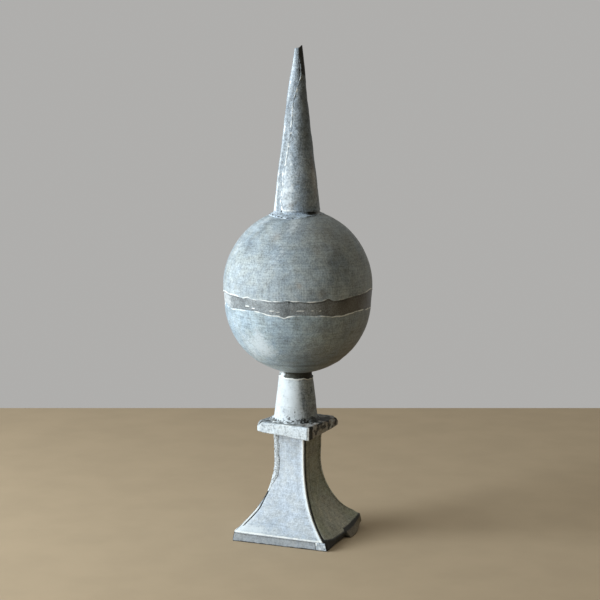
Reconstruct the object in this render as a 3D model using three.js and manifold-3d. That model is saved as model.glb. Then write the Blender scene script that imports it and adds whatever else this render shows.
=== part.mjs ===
// A roof finial in sheet zinc: a flared square pedestal, a cap plate, a tapered neck, a ball of two domes and a spike.
// Millimetres, +Z up. The origin is on the ground under the middle of the ball, and the front panel faces -Y.
import * as THREE from "three";
import { mergeVertices } from "three/addons/utils/BufferGeometryUtils.js";
import Module from "manifold-3d";

const wasm = await Module();
wasm.setup();

// The sheet, and the clearance between pieces that touch
const SHEET = 1.0;
const GAP = 0.3;

// Pedestal: four mitred panels, half widths from the axis to a face
const FOOT_HALF = 51.1;
const FOLD_HALF = 50.2;
const RIM_HEIGHT = 9;
const WAIST_HALF = 16.8;
const WAIST_HEIGHT = 80;
const SHAFT_TOP_HALF = 17.6;
const COVE_STEPS = 9;

// The pedestal was soldered up out of true: the shaft stands turned against the foot
const TWIST = 9.5;
const TWIST_RISE = 38;

// Damage: the near half of the right rim is crushed down and tucked under, and past a tear the far half is pushed
// out. The corner between the right and the back panel is bent up, from a distance out along the diagonal.
const CRUSH_OUT = 1.8;
const CRUSH_DOWN = 2.6;
const TUCK_LIFT = 1.8;
const BULGE = 6;
const TEAR_PLACE = 0.04;
const TEAR_SPAN = 0.12;
const CORNER_LIFT = 4.6;
const LIFT_START = 42;

// Cap plate: a shallow tray turned down over the shaft
const CAP_TOP = 119.6;
const CAP_HALF = 32;
const CAP_DROP = 11;
const CAP_SAG = 1.5;
const CAP_CORNER = 4;
const CAP_EDGE = 2.2;
const POST_HOLE = 13;

// Neck: a tapered tube from the cap plate to the ball, a little off the middle
const NECK_RISE = 49.2;
const NECK_FOOT_RADIUS = 22.5;
const NECK_TAPER = 0.12;
const NECK_SHIFT = new THREE.Vector2(-1.9, -0.8);

// Ball: two spun domes, whose rims are set in under a band of solder
const BALL_RADIUS = 75;
const LOWER_UNDERSIZE = 1.1;
const LOWER_SKIRT = 2.0;
const UPPER_SKIRT = 14.8;
const RIM_SET_IN = 0.7;
const BAND_WIDTH = 12.4;
const BAND_THICKNESS = 0.7;

// Spike: a rolled cone whose outer edge laps over the inner one, on a ring of solder
const SPIKE_FOOT_RADIUS = 22.9;
const SPIKE_LENGTH = 159.3;
const SPIKE_TAPER = 0.1184;
const SPIKE_SHIFT = new THREE.Vector2(-1.1, -0.4);
const TIP_LEAN = new THREE.Vector2(1.5, 0.6);
const TIP_SQUEEZE = 0.6;
const TIP_PLUG = 9;
const NIB_HEIGHT = 2.6;
const LAP_OFFSET = 11.1;
const LAP_BEARING = -143.5;
const LAP_SLIT = 0.002;
const RING_HEIGHT = 3.6;
const RING_SPREAD = 3.4;

// Facets
const ROUND_SIDES = 40;
const DOME_STEPS = 9;
const SPIKE_SIDES = 32;
const SPIKE_STEPS = 9;
const PANEL_COLUMNS = 4;
const DAMAGED_COLUMNS = 16;
const CORNER_STEPS = 5;

const toRadians = THREE.MathUtils.degToRad;

// Finish of each kind of surface
const FINISHES = {
  zinc: { color: 0x9aa5a6, roughness: 0.68, metalness: 0.35 },
  pale: { color: 0xb4bdbf, roughness: 0.72, metalness: 0.3 },
  solder: { color: 0x6f7371, roughness: 0.55, metalness: 0.5 },
};

function named(name, finish, geometry) {
  const mesh = new THREE.Mesh(geometry, new THREE.MeshStandardMaterial(FINISHES[finish]));
  mesh.name = name;
  return mesh;
}

// A cross-section's polyline moved to its left by a distance, with mitred corners
function offsetLine(points, distance) {
  const normalAfter = (i) => {
    const step = points[i + 1].clone().sub(points[i]).normalize();
    return new THREE.Vector2(-step.y, step.x);
  };
  return points.map((point, i) => {
    const before = normalAfter(Math.max(i - 1, 0));
    const after = normalAfter(Math.min(i, points.length - 2));
    const middle = before.clone().add(after).normalize();
    return point.clone().addScaledVector(middle, distance / middle.dot(after));
  });
}

// Moves a line's end point along the line until it has the given height
function slideToHeight(points, end, height) {
  const [tip, next] = end === 0 ? [points[0], points[1]] : [points.at(-1), points.at(-2)];
  tip.lerp(next, (height - tip.y) / (next.y - tip.y));
}

// A closed body through rings of equal count: the rings either close on themselves or end in flat caps
function skin(rings, closed) {
  const count = rings[0].length;
  const faces = [];
  const last = closed ? rings.length : rings.length - 1;
  for (let i = 0; i < last; i += 1) {
    const here = i * count;
    const there = ((i + 1) % rings.length) * count;
    for (let j = 0; j < count; j += 1) {
      const next = (j + 1) % count;
      faces.push(here + j, here + next, there + next, here + j, there + next, there + j);
    }
  }
  if (!closed) {
    const cap = (ring) => THREE.ShapeUtils.triangulateShape(ring.map((p) => new THREE.Vector2(p.x, p.y)), []);
    for (const [a, b, c] of cap(rings[0])) faces.push(c, b, a);
    const top = (rings.length - 1) * count;
    for (const [a, b, c] of cap(rings.at(-1))) faces.push(top + a, top + b, top + c);
  }
  const geometry = new THREE.BufferGeometry().setFromPoints(rings.flat());
  geometry.setIndex(faces);
  return geometry;
}

// A body turned about the Z axis from a section of radius and height
function turned(section) {
  return new THREE.LatheGeometry(section, ROUND_SIDES).rotateX(Math.PI / 2);
}

function solid(geometry) {
  const bare = geometry.clone();
  bare.deleteAttribute("normal");
  bare.deleteAttribute("uv");
  const merged = mergeVertices(bare, 1e-4);
  const vertProperties = new Float32Array(merged.attributes.position.array);
  const triVerts = new Uint32Array(merged.index.array);
  return new wasm.Manifold(new wasm.Mesh({ numProp: 3, vertProperties, triVerts }));
}

function geometryOf(manifold) {
  const { vertProperties, triVerts } = manifold.getMesh();
  const geometry = new THREE.BufferGeometry();
  geometry.setAttribute("position", new THREE.BufferAttribute(vertProperties, 3));
  geometry.setIndex(new THREE.BufferAttribute(triVerts, 1));
  return geometry;
}

// Sizes and heights that follow from the ones above
const lowerRadius = BALL_RADIUS - LOWER_UNDERSIZE;
const lowerCentre = CAP_TOP + NECK_RISE + lowerRadius;
const jointHeight = lowerCentre + LOWER_SKIRT;
const upperCentre = jointHeight + UPPER_SKIRT;
const seatRadius = lowerRadius - RIM_SET_IN;
const ballHeightAt = (radius) => upperCentre + Math.sqrt(BALL_RADIUS ** 2 - radius ** 2);
const hemHeight = ballHeightAt(SPIKE_FOOT_RADIUS) + RING_HEIGHT;

// Turn of the pedestal about the axis at a height
function turnAt(height) {
  return -toRadians(TWIST) * (1 - Math.exp(-height / TWIST_RISE));
}

// Section of a panel, half width against height: rim, fold, cove and shaft
function panelSection() {
  const reach = FOLD_HALF - WAIST_HALF;
  const rise = WAIST_HEIGHT - RIM_HEIGHT;
  const coveRadius = (reach ** 2 + rise ** 2) / (2 * reach);
  const sweep = Math.asin(rise / coveRadius);
  const outer = [new THREE.Vector2(FOOT_HALF, 0)];
  for (let i = 0; i <= COVE_STEPS; i += 1) {
    const angle = sweep * (1 - i / COVE_STEPS);
    const half = WAIST_HALF + coveRadius * (1 - Math.cos(angle));
    outer.push(new THREE.Vector2(half, WAIST_HEIGHT - coveRadius * Math.sin(angle)));
  }
  outer.push(new THREE.Vector2(SHAFT_TOP_HALF, CAP_TOP - SHEET - GAP));
  const inner = offsetLine(outer, SHEET);
  slideToHeight(inner, 0, 0);
  slideToHeight(inner, inner.length - 1, outer.at(-1).y);
  return { outer, inner };
}

// How the damaged rim moves, by place along the panel from -1, the near end, to 1: its fold and its lower edge
function rimDamage(along) {
  const { smoothstep } = THREE.MathUtils;
  const torn = smoothstep(along, TEAR_PLACE - TEAR_SPAN / 2, TEAR_PLACE + TEAR_SPAN / 2);
  const near = smoothstep(along, -0.95, -0.5) * (1 - torn);
  const far = torn * (1 - smoothstep(along, 0.3, 1));
  return {
    fold: { out: CRUSH_OUT * near, up: -CRUSH_DOWN * near },
    edge: { out: BULGE * far, up: TUCK_LIFT * near },
  };
}

// A panel as seen from the front: mitred ends, one ring of section points at each height. Its bent end, if it has
// one, is 1 for the end on the right and -1 for the end on the left.
function panel({ columns, damaged, bentEnd }) {
  const { outer, inner } = panelSection();
  const mitre = GAP / Math.SQRT2;
  const place = (line, level, along) => {
    const point = line[level];
    const spot = new THREE.Vector3(along * (point.x - mitre), -point.x, point.y);
    const moves = damaged && level < 2 ? rimDamage(along) : null;
    if (moves) {
      const move = level === 0 ? moves.edge : moves.fold;
      spot.y -= move.out;
      spot.z += move.up;
    }
    if (bentEnd) {
      const outAlong = (bentEnd * along * point.x + point.x) / Math.SQRT2;
      spot.z += CORNER_LIFT * THREE.MathUtils.smoothstep(outAlong, LIFT_START, FOOT_HALF * Math.SQRT2);
    }
    return spot.applyAxisAngle(new THREE.Vector3(0, 0, 1), turnAt(point.y));
  };
  const rings = outer.map((_, level) => {
    const ring = [];
    for (let j = 0; j <= columns; j += 1) ring.push(place(outer, level, (2 * j) / columns - 1));
    for (let j = columns; j >= 0; j -= 1) ring.push(place(inner, level, (2 * j) / columns - 1));
    return ring;
  });
  return skin(rings, false);
}

// A ring of points round a square with rounded corners, one column of points for each direction
function squareRing(half, corner, height) {
  const ring = [];
  for (let side = 0; side < 4; side += 1) {
    for (let j = 0; j <= CORNER_STEPS; j += 1) {
      const angle = (side + j / CORNER_STEPS) * (Math.PI / 2);
      const cornerAngle = (side + 0.5) * (Math.PI / 2);
      const centre = (half - corner) * Math.SQRT2;
      const x = centre * Math.cos(cornerAngle) + corner * Math.cos(angle);
      const y = centre * Math.sin(cornerAngle) + corner * Math.sin(angle);
      ring.push(new THREE.Vector3(x, y, height));
    }
  }
  return ring;
}

// A round ring with as many points as a square one, each in the same direction
function roundRing(radius, height, pattern) {
  return pattern.map((p) => new THREE.Vector3(p.x, p.y, 0).setLength(radius).setZ(height));
}

function capPlate() {
  const sheetUnder = CAP_TOP - SHEET;
  const lip = CAP_TOP - CAP_DROP;
  const edge = CAP_EDGE * (1 - Math.SQRT1_2);
  const pattern = squareRing(CAP_HALF, CAP_CORNER, CAP_TOP);
  // The lip hangs lower towards its near corner
  const outerLip = squareRing(CAP_HALF, CAP_CORNER, lip);
  const innerLip = squareRing(CAP_HALF - SHEET, CAP_CORNER - SHEET, lip);
  for (const spot of [...outerLip, ...innerLip]) {
    spot.z -= (CAP_SAG * (spot.x - spot.y)) / (2 * CAP_HALF);
  }
  const rings = [
    roundRing(POST_HOLE, CAP_TOP, pattern),
    squareRing(CAP_HALF - CAP_EDGE, CAP_CORNER - SHEET, CAP_TOP),
    squareRing(CAP_HALF - edge, CAP_CORNER, CAP_TOP - edge),
    squareRing(CAP_HALF, CAP_CORNER, CAP_TOP - CAP_EDGE),
    outerLip,
    innerLip,
    squareRing(CAP_HALF - SHEET, CAP_CORNER - SHEET, CAP_TOP - CAP_EDGE),
    squareRing(CAP_HALF - CAP_EDGE, CAP_CORNER - SHEET, sheetUnder),
    roundRing(POST_HOLE, sheetUnder, pattern),
  ];
  return skin(rings.reverse(), true).rotateZ(turnAt(CAP_TOP));
}

// Half of a dome's section from the pole to the rim, which is set in under the band
function domeSection(radius, skirt) {
  const outer = [];
  for (let i = 0; i <= DOME_STEPS; i += 1) {
    const angle = (Math.PI / 2) * (i / DOME_STEPS);
    outer.push(new THREE.Vector2(radius * Math.sin(angle), skirt + radius * Math.cos(angle)));
  }
  const bandEdge = BAND_WIDTH / 2 + GAP;
  const shown = outer.filter((p) => p.y > bandEdge + SHEET);
  const drop = Math.max(bandEdge + SHEET - skirt, 0);
  shown.push(new THREE.Vector2(Math.sqrt(radius ** 2 - drop ** 2), bandEdge + SHEET));
  shown.push(new THREE.Vector2(seatRadius, bandEdge));
  shown.push(new THREE.Vector2(seatRadius, GAP / 2));
  const inner = offsetLine(shown, -SHEET);
  inner[0].x = 0;
  return [...shown, ...inner.reverse()];
}

// The upper dome stands on the joint with its pole up, and the lower one is its mirror image with its pole down
function dome(radius, skirt, side) {
  const section = domeSection(radius, skirt).map((p) => new THREE.Vector2(p.x, jointHeight + side * p.y));
  return turned(side > 0 ? section.reverse() : section);
}

function solderBand() {
  const inner = seatRadius + GAP;
  const outer = inner + BAND_THICKNESS;
  const half = BAND_WIDTH / 2;
  const shoulder = half - 2 * BAND_THICKNESS;
  const section = [
    [inner, -half],
    [outer, -shoulder],
    [outer, shoulder],
    [inner, half],
    [inner, -half],
  ];
  return turned(section.map(([r, h]) => new THREE.Vector2(r, jointHeight + h)));
}

// The ball as one solid, larger by the clearance, which trims what stands against it
function ballTrim() {
  const section = [];
  for (let i = 0; i <= 2 * DOME_STEPS; i += 1) {
    const angle = -Math.PI / 2 + (Math.PI * i) / (2 * DOME_STEPS);
    const low = angle <= 0;
    const radius = (low ? lowerRadius : BALL_RADIUS) + GAP;
    const centre = low ? lowerCentre : upperCentre;
    section.push(new THREE.Vector2(radius * Math.cos(angle), centre + radius * Math.sin(angle)));
  }
  section[0].x = 0;
  section.at(-1).x = 0;
  return solid(turned(section));
}

// A tube of one sheet, from a foot to a head that runs into the ball and is trimmed by it
function neck() {
  const foot = CAP_TOP + GAP;
  const head = lowerCentre;
  const radiusAt = (height) => NECK_FOOT_RADIUS - NECK_TAPER * (height - foot);
  const section = [
    [radiusAt(foot) - SHEET, foot],
    [radiusAt(foot), foot],
    [radiusAt(head), head],
    [radiusAt(head) - SHEET, head],
    [radiusAt(foot) - SHEET, foot],
  ];
  const tube = turned(section.map(([r, h]) => new THREE.Vector2(r, h)));
  tube.translate(NECK_SHIFT.x, NECK_SHIFT.y, 0);
  return geometryOf(solid(tube).subtract(ballTrim()));
}

// A ring of solder that carries the spike: flush with it at the hem, spread at its foot, and trimmed by the ball
function spikeRing() {
  const bore = SPIKE_FOOT_RADIUS - 2 * SHEET;
  const foot = upperCentre;
  const toe = ballHeightAt(SPIKE_FOOT_RADIUS + RING_SPREAD) + SHEET / 2;
  const top = hemHeight - GAP;
  const section = [
    [bore, foot],
    [SPIKE_FOOT_RADIUS + RING_SPREAD, foot],
    [SPIKE_FOOT_RADIUS + RING_SPREAD, toe],
    [SPIKE_FOOT_RADIUS + SHEET / 2, top - RING_HEIGHT / 3],
    [SPIKE_FOOT_RADIUS, top],
    [bore, top],
    [bore, foot],
  ];
  const ring = turned(section.map(([r, h]) => new THREE.Vector2(r, h)));
  ring.translate(SPIKE_SHIFT.x, SPIKE_SHIFT.y, 0);
  return geometryOf(solid(ring).subtract(ballTrim()));
}

// Direction of the lap's edge at a distance down from the cone's point: the edge is straight in the flat sheet
function lapAngle(fromPoint) {
  const slope = Math.atan(SPIKE_TAPER);
  const slant = fromPoint / Math.cos(slope);
  return toRadians(LAP_BEARING) + Math.asin(LAP_OFFSET / slant) / Math.sin(slope);
}

// One ring of the spike, in its outer skin or its inner one: the outside steps in by a sheet at the lap, and the
// inside is round. Towards its tip the spike is squeezed narrower and leans.
function spikeRound(height, inside) {
  const fromPoint = SPIKE_FOOT_RADIUS / SPIKE_TAPER - height;
  const upper = THREE.MathUtils.smoothstep(height, SPIKE_LENGTH / 2, SPIKE_LENGTH);
  const radius = fromPoint * SPIKE_TAPER - TIP_SQUEEZE * upper - (inside ? SHEET : 0);
  const step = inside ? 0 : SHEET;
  const ring = [];
  for (let j = 0; j <= SPIKE_SIDES; j += 1) {
    const share = j / SPIKE_SIDES;
    const angle = lapAngle(fromPoint) + 2 * Math.PI * share - (j === SPIKE_SIDES ? LAP_SLIT : 0);
    const reach = radius + step * (1 - share);
    const x = reach * Math.cos(angle) + TIP_LEAN.x * upper ** 2;
    const y = reach * Math.sin(angle) + TIP_LEAN.y * upper ** 2;
    ring.push(new THREE.Vector3(x, y, height));
  }
  return ring;
}

function spike() {
  const pointHeight = SPIKE_FOOT_RADIUS / SPIKE_TAPER;
  const plug = SPIKE_LENGTH - TIP_PLUG;
  const rings = [plug, plug / 2, 0].map((height) => spikeRound(height, true));
  for (let i = 0; i <= SPIKE_STEPS; i += 1) {
    const first = 1 / pointHeight;
    const final = 1 / (pointHeight - SPIKE_LENGTH);
    const fromPoint = 1 / THREE.MathUtils.lerp(first, final, i / SPIKE_STEPS);
    rings.push(spikeRound(pointHeight - fromPoint, false));
  }
  // The point is lost: what is left rises to a nib on the right of the lap
  const tip = rings.at(-1);
  for (const spot of tip) {
    const outward = new THREE.Vector2(spot.x, spot.y).sub(TIP_LEAN).normalize();
    const toNib = outward.dot(TIP_LEAN.clone().normalize());
    spot.z += NIB_HEIGHT * Math.max(toNib, 0) ** 3;
  }
  return skin(rings, false).translate(SPIKE_SHIFT.x, SPIKE_SHIFT.y, hemHeight);
}

const finial = new THREE.Group();
const SIDES = ["front", "right", "back", "left"];
SIDES.forEach((side, i) => {
  const damaged = side === "right";
  const columns = damaged ? DAMAGED_COLUMNS : PANEL_COLUMNS;
  const bentEnd = { right: 1, back: -1 }[side];
  const mesh = named(`pedestal_${side}`, "zinc", panel({ columns, damaged, bentEnd }));
  mesh.rotation.z = (i * Math.PI) / 2;
  finial.add(mesh);
});
finial.add(named("cap_plate", "pale", capPlate()));
finial.add(named("neck", "pale", neck()));
finial.add(named("lower_dome", "zinc", dome(lowerRadius, LOWER_SKIRT, -1)));
finial.add(named("upper_dome", "zinc", dome(BALL_RADIUS, UPPER_SKIRT, 1)));
finial.add(named("solder_band", "solder", solderBand()));
finial.add(named("spike_ring", "solder", spikeRing()));
finial.add(named("spike", "zinc", spike()));

export default finial;
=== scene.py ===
"""Weathered sheet-zinc roof finial: the detailed pieces, their finishes, the floor, the light and the camera.

Lengths in this file are millimetres until a mesh is made, and heights are above the floor. A bearing is in
degrees to the right of the photograph's line of sight, seen from the axis.
"""

import itertools
import math

import bpy
import numpy as np
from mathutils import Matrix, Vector


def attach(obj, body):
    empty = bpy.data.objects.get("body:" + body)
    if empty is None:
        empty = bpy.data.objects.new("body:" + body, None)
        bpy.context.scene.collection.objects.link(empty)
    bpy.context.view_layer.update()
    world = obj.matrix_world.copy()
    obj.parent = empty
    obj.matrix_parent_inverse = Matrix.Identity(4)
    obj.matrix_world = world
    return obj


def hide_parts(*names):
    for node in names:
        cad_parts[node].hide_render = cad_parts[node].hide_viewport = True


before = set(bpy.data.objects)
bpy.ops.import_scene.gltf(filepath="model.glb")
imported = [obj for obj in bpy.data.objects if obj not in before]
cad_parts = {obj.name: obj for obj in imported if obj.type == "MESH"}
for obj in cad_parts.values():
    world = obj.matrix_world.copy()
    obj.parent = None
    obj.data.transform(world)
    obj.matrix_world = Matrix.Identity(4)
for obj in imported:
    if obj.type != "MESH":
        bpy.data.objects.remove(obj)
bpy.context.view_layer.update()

MM = 0.001

# Camera
CAMERA_AZIMUTH = 22.0
CAMERA_DISTANCE = 1619.0
CAMERA_ASIDE = 2.07
CAMERA_HEIGHT = 482.2
CAMERA_PITCH = 8.42
FOCAL_PIXELS = 1620.7
PICTURE_PIXELS = 600
SENSOR = 36.0

# Pedestal
SHEET = 1.0
GAP = 0.3
FOOT_HALF = 51.1
FOLD_HALF = 50.2
RIM_HEIGHT = 9.0
WAIST_HALF = 16.8
WAIST_HEIGHT = 80.0
SHAFT_TOP_HALF = 17.6
SHAFT_TOP = 118.3
TWIST = 9.5
TWIST_RISE = 38.0
CRUSH_OUT = 1.8
CRUSH_DOWN = 2.6
TUCK_LIFT = 1.8
BULGE = 6.0
TEAR_PLACE = 0.04
TEAR_SPAN = 0.05
CORNER_LIFT = 4.6
LIFT_START = 42.0
CORNER_WEAR = 1.1

# Cap plate: its corner radii start at the far right, its lifts at the near left
CAP_TOP = 119.6
CAP_HALF = 32.0
CAP_DROP = 11.0
CAP_CORNERS = (8.0, 5.0, 7.0, 1.6)
CAP_EDGE = 2.2
POST_HOLE = 13.0
CAP_TOP_LIFT = (0.0, 0.7, 0.9, 0.2)
CAP_LIP_LIFT = (1.6, -1.8, 4.4, 1.6)
CAP_WORN_CORNERS = ((-1, -1, 3.6), (1, 1, 3.0), (-1, 1, 2.0))

# Neck
NECK_FOOT = 119.9
NECK_FOOT_RADIUS = 22.5
NECK_TAPER = 0.12
NECK_CENTRE = np.array([-1.9, -0.8])

# Ball
BALL_RADIUS = 75.0
LOWER_RADIUS = 73.9
LOWER_CENTRE = 242.7
UPPER_CENTRE = 259.5
BAND_RADIUS = 74.1
SEAM_HEIGHT = 245.0

# Spike
SPIKE_FOOT_RADIUS = 22.9
SPIKE_TAPER = 0.1184
SPIKE_LENGTH = 159.3
SPIKE_CENTRE = np.array([-1.1, -0.4])
TIP_LEAN = np.array([1.5, 0.6])
TIP_SQUEEZE = 0.6
NIB_HEIGHT = 3.0
HEM_HEIGHT = 334.5

# Floor and light
FLOOR_ASIDE = 2400.0
FLOOR_NEAR = 2000.0
FLOOR_FAR = 605.0
LIGHT_AIM = 240.0


# Numbers


def smoothstep(x, low, high):
    t = np.clip((np.asarray(x, float) - low) / (high - low), 0, 1)
    return t * t * (3 - 2 * t)


def bump(x, middle, spread):
    """A smooth hill of height 1 about middle, gone three spreads away."""
    return np.exp(-(((np.asarray(x, float) - middle) / spread) ** 2))


def lattice(cell, seed):
    """A fixed value from -1 to 1 for each whole-numbered cell."""
    mask = 0xFFFFFFFF
    x, y, z = cell[..., 0], cell[..., 1], cell[..., 2]
    h = (x * 374761393 + y * 668265263 + z * 1442695041 + seed * 974711) & mask
    h = ((h ^ (h >> 13)) * 1274126177) & mask
    h = ((h ^ (h >> 15)) * 2246822519) & mask
    return ((h ^ (h >> 16)) & mask) / 2**31 - 1


def noise(points, size, seed=0):
    """Smooth noise from -1 to 1 whose features are about size wide."""
    scaled = np.asarray(points, float) / np.asarray(size, float)
    cell = np.floor(scaled).astype(np.int64)
    part = scaled - cell
    part = part * part * (3 - 2 * part)
    total = np.zeros(scaled.shape[:-1])
    for corner in itertools.product((0, 1), repeat=3):
        weight = np.prod(np.where(corner, part, 1 - part), axis=-1)
        total += weight * lattice(cell + np.array(corner), seed)
    return total


def rough(points, size, seed=0, octaves=3):
    size = np.asarray(size, float)
    return sum(noise(points, size / 2**k, seed + 17 * k) / 2**k for k in range(octaves)) / 1.5


def line_noise(along, size, seed=0, octaves=3):
    along = np.asarray(along, float)
    return rough(np.stack([along, 0 * along + 7.3, 0 * along + 1.7], -1), size, seed, octaves)


def ring_noise(angle, size_degrees, seed=0, octaves=3):
    """Noise round a circle, without a seam."""
    reach = 1 / math.radians(size_degrees)
    points = np.stack([reach * np.cos(angle), reach * np.sin(angle), 0 * angle + 3.1], -1)
    return rough(points, 1.0, seed, octaves)


def facing(bearing):
    """The direction in plan of a bearing, as x and y."""
    angle = np.radians(CAMERA_AZIMUTH + np.asarray(bearing, float))
    return np.stack([np.sin(angle), -np.cos(angle)], -1)


def degrees_past(bearing, mark):
    """How far a bearing is past a mark, from -180 to 180."""
    return (bearing - mark + 180) % 360 - 180


def bearing_of(x, y):
    return degrees_past(np.degrees(np.arctan2(x, -y)), CAMERA_AZIMUTH)


def joined_runs(*runs):
    """Numbers in even runs, each from a start to an end in a count, that join without a repeat."""
    return np.concatenate([np.linspace(*run)[:-1] for run in runs[:-1]] + [np.linspace(*runs[-1])])


def turn_at(height):
    return -math.radians(TWIST) * (1 - np.exp(-np.asarray(height, float) / TWIST_RISE))


def turned_about(points, angle):
    c, s = np.cos(angle), np.sin(angle)
    x, y = points[..., 0], points[..., 1]
    return np.stack([c * x - s * y, s * x + c * y, points[..., 2]], -1)


# Meshes


def grid_faces(rows, columns, closed_rows, closed_columns):
    last_row = rows if closed_rows else rows - 1
    last_column = columns if closed_columns else columns - 1
    i, j = np.meshgrid(np.arange(last_row), np.arange(last_column), indexing="ij")
    up, on = (i + 1) % rows, (j + 1) % columns
    corners = (i * columns + j, i * columns + on, up * columns + on, up * columns + j)
    return np.stack(corners, -1).reshape(-1, 4)


def grid_piece(name, grid, finish, masks=None, closed_rows=False, closed_columns=False):
    """A smooth piece from rows of points. masks holds a number for each point, by name, for the finish."""
    faces = [tuple(f) for f in grid_faces(*grid.shape[:2], closed_rows, closed_columns)]
    mesh = bpy.data.meshes.new(name)
    mesh.from_pydata([tuple(p) for p in grid.reshape(-1, 3) * MM], [], faces)
    mesh.polygons.foreach_set("use_smooth", [True] * len(mesh.polygons))
    for key, values in (masks or {}).items():
        layer = mesh.attributes.new(key, "FLOAT", "POINT")
        layer.data.foreach_set("value", np.broadcast_to(values, grid.shape[:2]).astype(np.float32).ravel())
    mesh.materials.append(finish)
    mesh.update()
    piece = bpy.data.objects.new(name, mesh)
    bpy.context.scene.collection.objects.link(piece)
    return piece


def place(piece, slot, *nodes):
    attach(piece, "root")
    if nodes:
        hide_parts(*nodes)
    return piece


# Finishes


class NodeTree:
    """The nodes of a material or of the world, under construction."""

    def __init__(self, owner, coordinates):
        owner.use_nodes = True
        self.nodes = owner.node_tree.nodes
        self.links = owner.node_tree.links
        self.spot = self.nodes.new("ShaderNodeTexCoord").outputs[coordinates]

    def feed(self, socket, value):
        if isinstance(value, bpy.types.NodeSocket):
            self.links.new(value, socket)
        else:
            socket.default_value = value

    def noise(self, size, stretch=(1, 1, 1), detail=4.0, seed=0.0):
        """Noise of about size millimetres across, drawn out by stretch along each axis. Its middle is 0.5."""
        mapping = self.nodes.new("ShaderNodeMapping")
        mapping.inputs["Scale"].default_value = [1 / s for s in stretch]
        mapping.inputs["Location"].default_value = (seed, seed * 0.7, seed * 1.3)
        self.feed(mapping.inputs["Vector"], self.spot)
        node = self.nodes.new("ShaderNodeTexNoise")
        node.inputs["Scale"].default_value = 1 / (size * MM)
        node.inputs["Detail"].default_value = detail
        self.feed(node.inputs["Vector"], mapping.outputs[0])
        return node.outputs["Fac"]

    def ramp(self, value, low, high, start=0.0, end=1.0):
        node = self.nodes.new("ShaderNodeMapRange")
        node.interpolation_type = "SMOOTHSTEP"
        self.feed(node.inputs["Value"], value)
        for key, number in (("From Min", low), ("From Max", high), ("To Min", start), ("To Max", end)):
            node.inputs[key].default_value = number
        return node.outputs["Result"]

    def math(self, operation, a, b):
        node = self.nodes.new("ShaderNodeMath")
        node.operation = operation
        self.feed(node.inputs[0], a)
        self.feed(node.inputs[1], b)
        return node.outputs[0]

    def mix(self, share, a, b, blend="MIX"):
        node = self.nodes.new("ShaderNodeMix")
        node.data_type = "RGBA"
        node.blend_type = blend
        self.feed(node.inputs["Factor"], share)
        for socket, value in ((node.inputs[6], a), (node.inputs[7], b)):
            self.feed(socket, value if isinstance(value, bpy.types.NodeSocket) else (*value, 1.0))
        return node.outputs[2]

    def total(self, first, *others):
        for other in others:
            first = self.math("ADD", first, other)
        return first

    def swing(self, value, amount):
        """Noise as a swing of so much about 0."""
        return self.ramp(value, 0.3, 0.7, -amount, amount)

    def grey(self, value):
        node = self.nodes.new("ShaderNodeCombineColor")
        for socket in node.inputs:
            self.feed(socket, value)
        return node.outputs[0]


class Finish(NodeTree):
    """A node material under construction."""

    def __init__(self, name, roughness, metallic=0.0):
        self.material = bpy.data.materials.new(name)
        super().__init__(self.material, "Object")
        self.shader = self.nodes["Principled BSDF"]
        self.shader.inputs["Roughness"].default_value = roughness
        self.shader.inputs["Metallic"].default_value = metallic

    def mask(self, name):
        node = self.nodes.new("ShaderNodeAttribute")
        node.attribute_name = name
        return node.outputs["Fac"]

    def broken_mask(self, name, broken, break_up):
        """A mask whose soft edges are broken up by noise."""
        offset = self.math("MULTIPLY", self.math("SUBTRACT", broken, 0.5), break_up)
        share = self.ramp(self.math("ADD", self.mask(name), offset), 0.25, 0.75)
        return self.math("MULTIPLY", share, self.ramp(self.mask(name), 0.0, 0.12))

    def weathered(self, colour, break_up, chalk_and_light_tone):
        """Lay the masks over a colour."""
        broken = self.noise(2.2, detail=4, seed=6.6)
        shaded = self.mix(1.0, colour, SHADE, "MULTIPLY")
        colour = self.mix(self.mask("shade"), colour, shaded)
        colour = self.mix(self.mask("rust_and_shade_tint"), colour, RUST_AND_SHADE_TINT)
        # Chalky white, which also stands in for painted light
        chalk_and_light = self.mix(1.0, chalk_and_light_tone, self.grey(self.ramp(broken, 0.3, 0.7, 1.07, 0.9)), "MULTIPLY")
        colour = self.mix(self.broken_mask("bloom_and_light", broken, break_up), colour, chalk_and_light)
        colour = self.mix(self.broken_mask("dirt_and_shadow", broken, 0.6), colour, DIRT_AND_SHADOW)
        return self.mix(self.broken_mask("wear_and_highlight", broken, 0.5), colour, WORN_AND_HIGHLIGHT)

    def done(self, colour, height=None, depth=0.2):
        self.feed(self.shader.inputs["Base Color"], colour)
        if height is not None:
            node = self.nodes.new("ShaderNodeBump")
            node.inputs["Strength"].default_value = 1.0
            node.inputs["Distance"].default_value = depth * MM
            self.feed(node.inputs["Height"], height)
            self.feed(self.shader.inputs["Normal"], node.outputs["Normal"])
        return self.material


MASKS = ("bloom_and_light", "wear_and_highlight", "dirt_and_shadow", "rust_and_shade_tint", "shade")

# Colours the masks lay down: the chalky white, the bright, the black and the brown also stand in for painted
# light, painted highlights, painted shadow and a warm tint in painted shade
BLOOM_AND_LIGHT = (0.65, 0.70, 0.725)
RUST_AND_SHADE_TINT = (0.33, 0.20, 0.08)
DIRT_AND_SHADOW = (0.022, 0.023, 0.02)
WORN_AND_HIGHLIGHT = (0.78, 0.79, 0.76)
SHADE = (0.36, 0.36, 0.35)
CLOUD_SIZE = 26


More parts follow.
